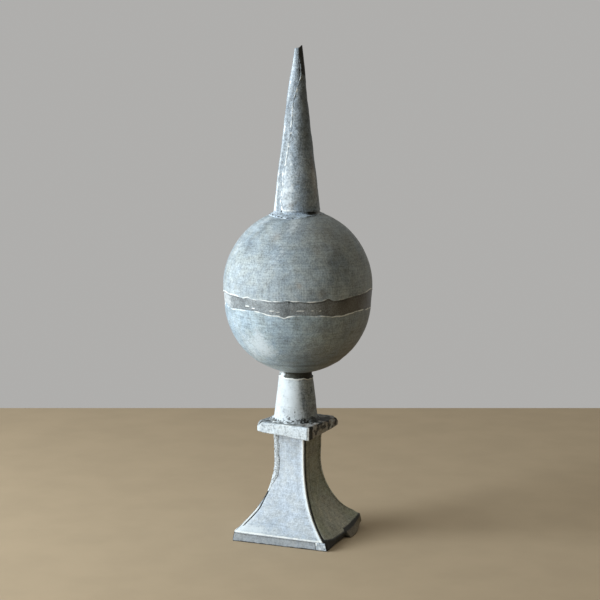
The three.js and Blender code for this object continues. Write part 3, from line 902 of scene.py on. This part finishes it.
def dome(low):
    """A dome as rows from its pole to its torn edge, which curls out a little and then turns in."""
    part, side = ("lower", -1) if low else ("upper", 1)
    radius, centre = (LOWER_RADIUS, LOWER_CENTRE) if low else (BALL_RADIUS, UPPER_CENTRE)
    angle, bearing = round_about(420)
    edge = lower_edge(bearing) if low else upper_edge(bearing)
    # from the pole to the torn edge, or to the dome's centre and on straight down to the edge
    end = np.arcsin(np.clip(side * (edge - centre) / radius, 0, 1))
    share = joined_runs((1, 0.12, 84), (0.12, 0, 40))[:, None]
    latitude = end + (math.pi / 2 - end) * share
    rows_z = centre + side * radius * np.sin(latitude)
    rows_r = radius * np.cos(latitude)
    if not low:
        skirt_z = centre + (edge - centre) * np.linspace(0, 1, 22)[1:, None]
        rows_z = np.concatenate([rows_z, skirt_z])
        rows_r = np.concatenate([rows_r, radius + 0 * skirt_z])
        # the shoulders are a little flatter than a sphere's
        high = np.degrees(np.arcsin(np.clip((rows_z - centre) / radius, 0, 1)))
        rows_r = rows_r * (1 - 0.0075 * bump(high, 30, 17))
    to_edge = side * (rows_z - edge)
    spot = around((0, 0), angle, rows_r, rows_z)
    relief = 0.42 * noise(spot, 46, 91 + low) + 0.16 * noise(spot, 17, 92 + low) + 0.04 * noise(spot, 4, 93)
    if low:
        down = centre - rows_z
        relief = relief + 0.13 * line_noise(down, 2.2, 95) * smoothstep(down, 26, 50)
        relief = relief + 0.22 * bump(down, 60.5, 1.2) - 0.2 * bump(down, 56.5, 0.9)
    lip = bump(to_edge, 0.6, 0.75 if low else 0.6)
    ragged = np.clip(0.62 + 0.75 * ring_noise(angle, 5, 97 + low), 0.15, 1.1)
    relief = relief + 0.26 * lip * ragged
    near_joint = smoothstep(to_edge, 10, 0)
    relief = relief * (1 - 0.4 * near_joint * (relief < 0))
    scale = 1 + relief / radius
    z = centre + (rows_z - centre) * np.where(to_edge > 12, scale, 1)
    points = np.stack([spot[..., 0] * scale, spot[..., 1] * scale, z], -1)
    tuck = []
    for depth, back in ((0.35, 0.1), (0.9, -0.2), (1.6, -0.8)):
        row = points[-1].copy()
        row[:, :2] *= 1 - depth / radius
        row[:, 2] -= side * back
        tuck.append(row)
    grid = np.concatenate([points, np.array(tuck)])
    masks = dome_masks(low, bearing, rows_z, rows_r, to_edge, lip * ragged)
    masks = {k: np.concatenate([v, np.repeat(v[-1:], len(tuck), 0)]) for k, v in masks.items()}
    if not low:
        grid, masks = grid[::-1], {k: v[::-1] for k, v in masks.items()}
    finish = FINISH["dome_low" if low else "dome"]
    piece = grid_piece(f"ball_{part}", grid, finish, masks, closed_columns=True)
    return place(piece, "zinc_sheet", f"{part}_dome")


# Clouds on the ball, by mask: bearing, height, size and strength. Some are the patina's own darker and paler
# clouds; others are painted shade and painted light, such as the pale ones low on the left.
CLOUDS = {
    "shade": (
        (-47, 317, 5.5, 0.42), (-52, 306, 6.5, 0.28), (-52, 298, 4.5, 0.30), (-23, 276, 11, 0.16),
        (-1, 290, 4.5, 0.34), (-10, 272, 4, 0.28), (-4, 264, 3.5, 0.42), (17, 298, 6, 0.26),
        (38, 297, 6.5, 0.28), (30, 289, 5, 0.20), (31, 279, 5.5, 0.28), (27, 270, 5, 0.30),
        (44, 286, 5, 0.20), (9, 260, 4, 0.32), (20, 258, 5, 0.30), (58, 300, 8, 0.12),
        (-44, 224, 4, 0.25), (-27, 231, 3, 0.28), (-12, 225, 8, 0.20), (-11, 213, 4.5, 0.30),
        (14, 199, 9, 0.16), (40, 215, 10, 0.14), (150, 290, 14, 0.25), (-140, 230, 12, 0.2),
        (30, 320, 11, 0.26), (46, 275, 12, 0.16),
    ),
    "bloom_and_light": (
        (-36, 320, 6, 0.40), (-53, 276, 13, 0.30), (-70, 298, 12, 0.42), (6, 303, 2.5, 0.34),
        (-6, 211, 3, 0.28), (-53, 208, 13, 0.30), (-60, 226, 10, 0.34), (-30, 262, 9, 0.2),
        (-34, 217, 11, 0.36), (-8, 318, 9, 0.40), (-2, 329, 8, 0.44), (-62, 326, 9, 0.46),
        (-38, 200, 16, 0.42), (-56, 190, 9, 0.30), (-14, 300, 8, 0.36), (-20, 287, 9, 0.34),
        (-24, 200, 12, 0.26),
    ),
    "rust_and_shade_tint": (
        (-23, 312, 4.6, 0.24), (1, 267, 2.8, 0.34), (17, 297, 5, 0.10), (2, 317, 16, 0.08),
        (31, 309, 18, 0.13), (18, 258, 5, 0.12), (14, 198, 10, 0.04), (100, 300, 20, 0.08),
    ),
}


def dome_masks(low, bearing, height, radius, to_edge, lip):
    masks = {key: 0 * height for key in MASKS}
    for key, clouds in CLOUDS.items():
        for at, z, size, amount in clouds:
            if (z < SEAM_HEIGHT) == low:
                reach = np.radians(degrees_past(bearing, at)) * radius
                masks[key] = masks[key] + amount * np.exp(-(reach**2 + (height - z) ** 2) / size**2)
    spots = around((0, 0), np.radians(bearing), radius, height)
    masks["shade"] += 0.20 * smoothstep(noise(spots, 9, 102), 0.1, 0.8)
    # Painted shade on the right, away from the window, with a warm brown tint
    masks["shade"] += 0.26 * smoothstep(bearing, 22, 60) * smoothstep(bearing, 150, 110)
    masks["rust_and_shade_tint"] += 0.08 * smoothstep(bearing, 20, 60) * smoothstep(bearing, 150, 110)
    masks["wear_and_highlight"] += 1.1 * lip
    # A dark line at the torn edge where it tucks in: painted shadow
    masks["dirt_and_shadow"] += 0.45 * bump(to_edge, -0.4, 0.3)
    if low:
        down = LOWER_CENTRE - height
        # Painted shade: darker towards the neck, and low in the middle and on the right, with a warm tint on
        # the right
        masks["shade"] += 0.35 * bump(down, 60, 1.1) + 0.15 * smoothstep(down, 62, 71)
        to_right = smoothstep(bearing, 170, 110)
        masks["shade"] += (0.6 * smoothstep(down, 26, 60) + 0.18) * smoothstep(bearing, -33, 5) * to_right
        masks["rust_and_shade_tint"] += 0.07 * smoothstep(bearing, 0, 32) * to_right
    return masks


# Bright scrapes in the solder band: bearing, height, length and thickness
SCRAPES = (
    (-42, 244.6, 3.0, 0.6), (-20, 241.9, 3.2, 0.45), (-15, 241.2, 2, 0.4), (2, 242.7, 4.6, 0.5),
    (11, 242.7, 1.6, 0.4), (17, 242.3, 1.4, 0.4), (-36, 243.0, 2.4, 0.4), (120, 241, 3, 0.4),
    (160, 242, 2.4, 0.4), (-130, 241, 3, 0.4),
)


def ball_band():
    """Solder between the two torn edges: smooth, with a few scraped bright dashes low down."""
    angle, bearing = round_about(420)
    top, bottom = upper_edge(bearing) + 1.2, lower_edge(bearing) - 1.2
    share = np.linspace(0, 1, 26)[:, None]
    height = bottom + (top - bottom) * share
    spot = around((0, 0), angle, BAND_RADIUS, height)
    relief = 0.18 * noise(spot, 15, 111) + 0.08 * noise(spot, (4, 4, 3), 112)
    relief -= 0.5 * (np.abs(share - 0.5) * 2) ** 8
    scrape = 0 * height
    for at, z, length, thin in SCRAPES:
        reach = np.radians(degrees_past(bearing, at)) * BAND_RADIUS
        scrape = scrape + np.exp(-((reach / length) ** 4) - ((height - z) / thin) ** 2)
    relief = relief + 0.25 * scrape
    seam = bump(bearing, -6.4, 0.35) * smoothstep(share, 0.1, 0.2)
    lens = np.exp(-(((bearing + 4.0) / 1.7) ** 2) - ((height - 244.6) / 4.0) ** 2)
    patches = smoothstep(noise(spot, (16, 16, 5), 115), 0.0, 0.7)
    masks = {
        # Chalky white on the far left is painted light; the right is painted shade with a brown tint, and the
        # dark line under the upper lip is painted shadow
        "bloom_and_light": 0.33 * lens + 0.58 * smoothstep(bearing, -38, -74) * smoothstep(bearing, -140, -100),
        "wear_and_highlight": scrape,
        "dirt_and_shadow": 0.6 * seam + 0.55 * bump(share, 0.86, 0.05) + 0.3 * smoothstep(share, 0.2, 0.08),
        "rust_and_shade_tint": 0.12 * bump(bearing, 50, 35) + 0.06 * lens,
        "shade": 0.30 * bump(bearing, -40, 12) + 0.32 * bump(bearing, -12, 7)
        + 0.9 * smoothstep(bearing, -4, 42) + 0.25 * patches - 0.2 * lens,
    }
    wide = LOWER_RADIUS - 0.25 + (BALL_RADIUS - LOWER_RADIUS) * smoothstep(share, 0, 1)
    grid = around((0, 0), angle, wide + relief, height)
    piece = grid_piece("ball_band", grid, FINISH["band"], masks, closed_columns=True)
    return place(piece, "solder", "solder_band")


# Spike


def spike_radius(height):
    up = height - HEM_HEIGHT
    return SPIKE_FOOT_RADIUS - SPIKE_TAPER * up - TIP_SQUEEZE * smoothstep(up, SPIKE_LENGTH / 2, SPIKE_LENGTH)


def spike_axis(height):
    up = smoothstep(height - HEM_HEIGHT, SPIKE_LENGTH / 2, SPIKE_LENGTH)
    return SPIKE_CENTRE + np.asarray(up)[..., None] ** 2 * TIP_LEAN


def lap_bearing(height):
    """Bearing of the lap's edge: nearly straight in the flat sheet, with a kink where it was dressed over."""
    up = np.asarray(height, float) - HEM_HEIGHT
    from_point = SPIKE_FOOT_RADIUS / SPIKE_TAPER - up
    slope = math.atan(SPIKE_TAPER)
    slant = np.maximum(from_point / math.cos(slope), 11.6)
    straight = -75.5 + np.degrees(np.arcsin(11.1 / slant)) / math.sin(slope)
    kink = 9.0 * bump(up, 132, 5) - 10.0 * bump(up, 106, 11) - 4.0 * bump(up, 37, 6) + 7.0 * bump(up, 2, 6)
    pull = smoothstep(up, 136, 150)
    waver = 1.8 * line_noise(up, 9, 121) + 1.4 * line_noise(up, 3.2, 122)
    return (straight + kink) * (1 - pull) + 4.0 * pull + waver


def nib(bearing):
    """How far the blunt tip rises on its right."""
    return NIB_HEIGHT * smoothstep(np.sin(np.radians(bearing)), 0.0, 0.85)


def spike_cone():
    rise = joined_runs((-1.2, 6, 22), (6, SPIKE_LENGTH, 190))[:, None]
    share = joined_runs((0, 0.12, 26), (0.12, 0.94, 96), (0.94, 1, 14))[None, :]
    base = HEM_HEIGHT + rise
    lap = lap_bearing(base)
    bearing = lap + 360 * share
    # the hem is ragged, rounds off at the lap's lower corner and dies out where the inner edge runs down
    along = np.radians(360 * share) * SPIKE_FOOT_RADIUS
    hem = 0.45 * ring_noise(np.radians(lap[:1] + 360 * share), 10, 131)
    hem += 4.2 * np.maximum(0, 1 - along / 4.6) ** 2
    height = base + hem * smoothstep(rise, 8, -1.2)
    height += nib(bearing) * smoothstep(rise, SPIKE_LENGTH - 7, SPIKE_LENGTH)
    step = SHEET * (1 - share) * 1.05
    edge_roll = 0.35 * bump(along, 1.1, 1.0)
    spot = around((0, 0), np.radians(bearing), spike_radius(height), height)
    pits = np.minimum(0, rough(spot, 3.4, 132, 2) + 0.12) * 0.5
    dents = 0.3 * noise(spot, 16, 133) + 0.10 * noise(spot, 5, 134)
    lip = bump(rise, 0.6, 0.9) * smoothstep(share, 0.9, 0.7)
    radius = spike_radius(height) + step + edge_roll + 0.25 * lip
    radius += (pits + dents) * smoothstep(height, 494, 470)
    axis = spike_axis(height)
    plan = facing(bearing)
    outer = np.stack([axis[..., 0] + radius * plan[..., 0], axis[..., 1] + radius * plan[..., 1], height], -1)
    inward = outer.copy()
    inward[..., :2] = axis + (outer[..., :2] - axis) * (1 - SHEET / np.maximum(radius, 1.5))[..., None]
    grid = np.concatenate([inward[:1], outer])
    masks = spike_masks(bearing, height, share, along, spot, pits, lip)
    masks = {k: np.broadcast_to(v, height.shape) for k, v in masks.items()}
    masks = {k: np.concatenate([v[:1], v]) for k, v in masks.items()}
    piece = grid_piece("spike_cone", grid, FINISH["spike"], masks, closed_columns=True)
    return place(piece, "zinc_sheet", "spike")


def spike_masks(bearing, height, share, along, spot, pits, lip):
    """The lap's edge is painted bright as a highlight, with a strip of painted shade on its left, and the tip
    is painted dark on its right, as shade.
    """
    turn = degrees_past(bearing, 0)
    ragged = np.clip(0.66 + 1.0 * line_noise(height, 4, 139), 0.1, 1.2)
    up = (height - HEM_HEIGHT) / SPIKE_LENGTH
    ridge = bump(along, 0.8 + 0.6 * line_noise(height, 4, 140), 0.95) * ragged
    flecks = smoothstep(noise(spot, (2.2, 2.2, 3.4), 135), 0.0, 0.6)
    flecks *= bump(along, 4.0 - 2.0 * up, 4.0 - 2.2 * up)
    # A dark line in the step at the lap's edge: painted shadow
    crevice = smoothstep(share, 0.988, 1.0)
    behind = (1 - share) * 360
    shaded_strip = bump(behind, 16 + 10 * up, 8 + 9 * up) * (1 + 0.6 * up)
    left_edge = -1 + 18 * smoothstep(height, 476, 466)
    tip = smoothstep(turn, left_edge - 4, left_edge + 5) * smoothstep(turn, 175, 130)
    tip *= smoothstep(height, 464, 470)
    stripes = smoothstep(line_noise(height, 2.2, 136), -0.35, 0.35) * smoothstep(height, 488, 483)
    stain = bump(turn, 60, 14) * bump(height, 366, 18)
    return {
        # Chalky white on the left limb and lower left, toward the window, is painted light; the right and
        # upper right are painted shade
        "bloom_and_light": (1.12 - 1.27 * up + 0.6 * smoothstep(up, 0.6, 0.8)) * bump(turn, -74 + 16 * up, 16)
        * (0.85 + 0.4 * line_noise(height, 12, 137)) * (1 - 0.5 * np.minimum(shaded_strip, 1))
        + 0.22 * smoothstep(noise(spot, 5, 138), 0.15, 0.7) * smoothstep(turn, 25, -15) + 0.48 * stain
        + 0.47 * smoothstep(up, 0.5, 0.2) * smoothstep(turn, 14, -22)
        * smoothstep(along, 0, 3) * (share < 0.5),
        # The lap's ridge and, on the left, the hem's lip are painted bright as highlights, beside real bright
        # flecks
        "wear_and_highlight": (0.85 * ridge + 0.6 * flecks + 0.5 * lip * smoothstep(turn, 30, -10)) * (1 - tip),
        "dirt_and_shadow": 0.95 * crevice + 0.34 * smoothstep(-pits, 0.12, 0.3)
        + tip * (0.95 - 0.55 * stripes * smoothstep(turn, 55, 25)),
        "rust_and_shade_tint": 0.40 * stain + 0.20 * np.exp(-(((turn + 16) / 10) ** 2) - ((height - 340) / 4) ** 2),
        "shade": 0.34 * shaded_strip + 0.34 * smoothstep(turn, -2, 22) * smoothstep(turn, 190, 150) * (1 - stain)
        + 0.5 * smoothstep(up, 0.3, 0.65) * smoothstep(turn, 5, 60),
    }


def spike_tip():
    """Blunt end of the spike: a rough plug that rises to a nib on its right."""
    angle, bearing = round_about(48)
    share = np.linspace(0, 1, 12)[:, None]
    top = HEM_HEIGHT + SPIKE_LENGTH
    radius = (spike_radius(top) + 0.6) * (1 - share) + 0.01
    height = top - 0.4 + 0.9 * share * (2 - share) + nib(bearing) * (1 - share) ** 1.5
    spot = around((0, 0), angle, radius, height)
    height = height + 0.35 * noise(spot, 1.6, 141)
    grid = around(spike_axis(top), angle, radius, height)
    # The plug is painted dark on its right, as shade, and pale on its left, as light
    dark = 0.95 * smoothstep(bearing, -10, 12) * smoothstep(bearing, 205, 150)
    masks = {"bloom_and_light": 0.4 * (1 - dark), "dirt_and_shadow": dark}
    piece = grid_piece("spike_tip", grid, FINISH["spike"], masks, closed_columns=True)
    return place(piece, "zinc_sheet")


def spike_collar():
    """Solder under the hem, spreading to the ball. It is flush with the inner edge left of the lap."""
    angle, bearing = round_about(200)
    share = np.linspace(0, 1, 30)[:, None]
    flush = bump(degrees_past(bearing, -62), 0, 16)
    top_z = HEM_HEIGHT + 1.0 + 3.0 * flush
    top_r = spike_radius(top_z) - 0.15 + 0.1 * flush
    toe_r = 28.0 + 5.0 * bump(bearing, -8, 32) + 0.9 * ring_noise(angle, 9, 151)
    toe_z = UPPER_CENTRE + np.sqrt(BALL_RADIUS**2 - toe_r**2) - 0.35
    curve = smoothstep(share, 0.3, 0.75) * 0.6 + 0.4 * smoothstep(share, 0.6, 1.0)
    radius = top_r + (toe_r - top_r) * curve
    on_ball = UPPER_CENTRE + np.sqrt(BALL_RADIUS**2 - radius**2) + 0.9 * smoothstep(share, 1.0, 0.8)
    height = np.maximum(top_z + (toe_z - top_z) * share**0.85, on_ball * (share > 0.55))
    height[-1] = toe_z[0] - 0.5
    spot = around((0, 0), angle, radius, height)
    lump = 0.3 * noise(spot, 5, 152) + 0.2 * noise(spot, 2, 153)
    grid = around(SPIKE_CENTRE, angle, radius + lump * smoothstep(share, 0.1, 0.3), height)
    dabs = smoothstep(ring_noise(angle, 7, 154), -0.1, 0.4)
    # Chalky white on the left, toward the window, is painted light; the right is painted shade with a brown
    # tint, and the dark band just under the hem is painted shadow
    masks = {
        "bloom_and_light": 0.45 * bump(bearing, -62, 26) * (1 - 0.5 * smoothstep(share, 0.6, 0.9)),
        "dirt_and_shadow": 0.8 * bump(share, 0.86, 0.07) * (1 - dabs)
        + 0.85 * bump(bearing, 40, 22) * smoothstep(share, 0.95, 0.5)
        + 0.55 * smoothstep(share, 0.25, 0.08) * (1 - flush),
        "rust_and_shade_tint": 0.25 * bump(bearing, 66, 20) * smoothstep(share, 0.9, 0.4),
        "wear_and_highlight": 0.7 * smoothstep(share, 0.88, 0.95) * bump(bearing, -20, 30) * dabs,
        "shade": 0.5 * smoothstep(bearing, 12, 40) + 0.1 * noise(spot, 6, 155),
    }
    masks = {k: v[::-1] + 0 * height for k, v in masks.items()}
    piece = grid_piece("spike_collar", grid[::-1], FINISH["collar"], masks, closed_columns=True)
    return place(piece, "solder", "spike_ring")


# Surroundings


def plain_finish(name, colour, roughness=0.9):
    f = Finish(name, roughness)
    tone = f.ramp(f.noise(60, detail=4), 0.3, 0.7, 0.97, 1.03)
    return f.done(f.mix(1.0, colour, f.grey(tone), "MULTIPLY"))


def floor():
    """A plain pale table top, whose far edge is where the photograph's is."""
    right = np.array([math.cos(math.radians(CAMERA_AZIMUTH)), math.sin(math.radians(CAMERA_AZIMUTH))])
    away = np.array([-right[1], right[0]])
    grid = np.array([
        [np.append(u * right + v * away, 0) for u in (-FLOOR_ASIDE, FLOOR_ASIDE)]
        for v in (-FLOOR_NEAR, FLOOR_FAR)
    ])
    piece = grid_piece("floor", grid, plain_finish("floor_plain", (0.48, 0.365, 0.235)))


def area_light(name, bearing, elevation, distance, size, power, colour):
    plan = facing(bearing)
    rise = math.radians(elevation)
    aim = Vector((0, 0, LIGHT_AIM * MM))
    back = Vector((plan[0] * math.cos(rise), plan[1] * math.cos(rise), math.sin(rise)))
    data = bpy.data.lights.new(name, "AREA")
    data.shape = "RECTANGLE"
    data.size, data.size_y = size
    data.energy = power
    data.color = colour
    light = bpy.data.objects.new(name, data)
    light.location = aim + back * distance
    light.rotation_mode = "QUATERNION"
    light.rotation_quaternion = back.to_track_quat("Z", "Y")
    light.visible_camera = False
    bpy.context.scene.collection.objects.link(light)


ROOM = (0.118, 0.111, 0.088)
WALL = (0.43, 0.425, 0.415)
CEILING = (0.42, 0.42, 0.38)


def surroundings():
    """World light: a pale wall behind the object, a pale ceiling, and a darker, warmer room in front."""
    world = bpy.data.worlds.new("room")
    w = NodeTree(world, "Generated")
    toward_wall = w.nodes.new("ShaderNodeVectorMath")
    toward_wall.operation = "DOT_PRODUCT"
    toward_wall.inputs[1].default_value = (*facing(180), 0)
    w.feed(toward_wall.inputs[0], w.spot)
    split = w.nodes.new("ShaderNodeSeparateXYZ")
    w.feed(split.inputs[0], w.spot)
    colour = w.mix(w.ramp(toward_wall.outputs["Value"], 0.1, 0.8), ROOM, WALL)
    colour = w.mix(w.ramp(split.outputs["Z"], 0.35, 1.0), colour, CEILING)
    w.feed(w.nodes["Background"].inputs["Color"], colour)
    bpy.context.scene.world = world


def camera():
    azimuth, pitch = math.radians(CAMERA_AZIMUTH), math.radians(CAMERA_PITCH)
    s, c = math.sin(azimuth), math.cos(azimuth)
    data = bpy.data.cameras.new("camera")
    data.sensor_width = SENSOR
    data.lens = SENSOR * FOCAL_PIXELS / PICTURE_PIXELS
    data.clip_start, data.clip_end = 0.01, 50
    eye = bpy.data.objects.new("camera", data)
    eye.location = Vector(
        (s * CAMERA_DISTANCE + c * CAMERA_ASIDE, -c * CAMERA_DISTANCE + s * CAMERA_ASIDE, CAMERA_HEIGHT)
    ) * MM
    look = Vector((-s * math.cos(pitch), c * math.cos(pitch), -math.sin(pitch)))
    eye.rotation_mode = "QUATERNION"
    eye.rotation_quaternion = look.to_track_quat("-Z", "Y")
    bpy.context.scene.collection.objects.link(eye)
    bpy.context.scene.camera = eye


def finial():
    for index, (side, bent_end) in enumerate((("front", 0), ("right", 1), ("back", -1), ("left", 0))):
        panel(side, index, bent_end)
    corner_bead("bead_near_left", 0, 47, SHAFT_TOP - 0.5, (2.4, 5.0), 1.0, FINISH["solder_pale"])
    # The far right bead takes the panel's darker copy: painted shade
    corner_bead("bead_far_right", 2, 14, SHAFT_TOP - 0.5, (2.4, 2.4), 0.5, FINISH["panel_shaded"])
    corner_bead("bead_far_left", 3, 14, SHAFT_TOP - 0.5, (2.4, 2.4), 0.6, FINISH["solder_pale"])
    rim_tab()
    cap_plate()
    neck_tube()
    neck_top_solder()
    neck_foot_solder()
    dome(True)
    dome(False)
    ball_band()
    spike_cone()
    spike_tip()
    spike_collar()


finial()
floor()
area_light("window", -72, 7, 1.5, (1.1, 1.4), 52, (0.885, 0.975, 1.05))
surroundings()
camera()
bpy.context.scene.view_settings.view_transform = "Standard"
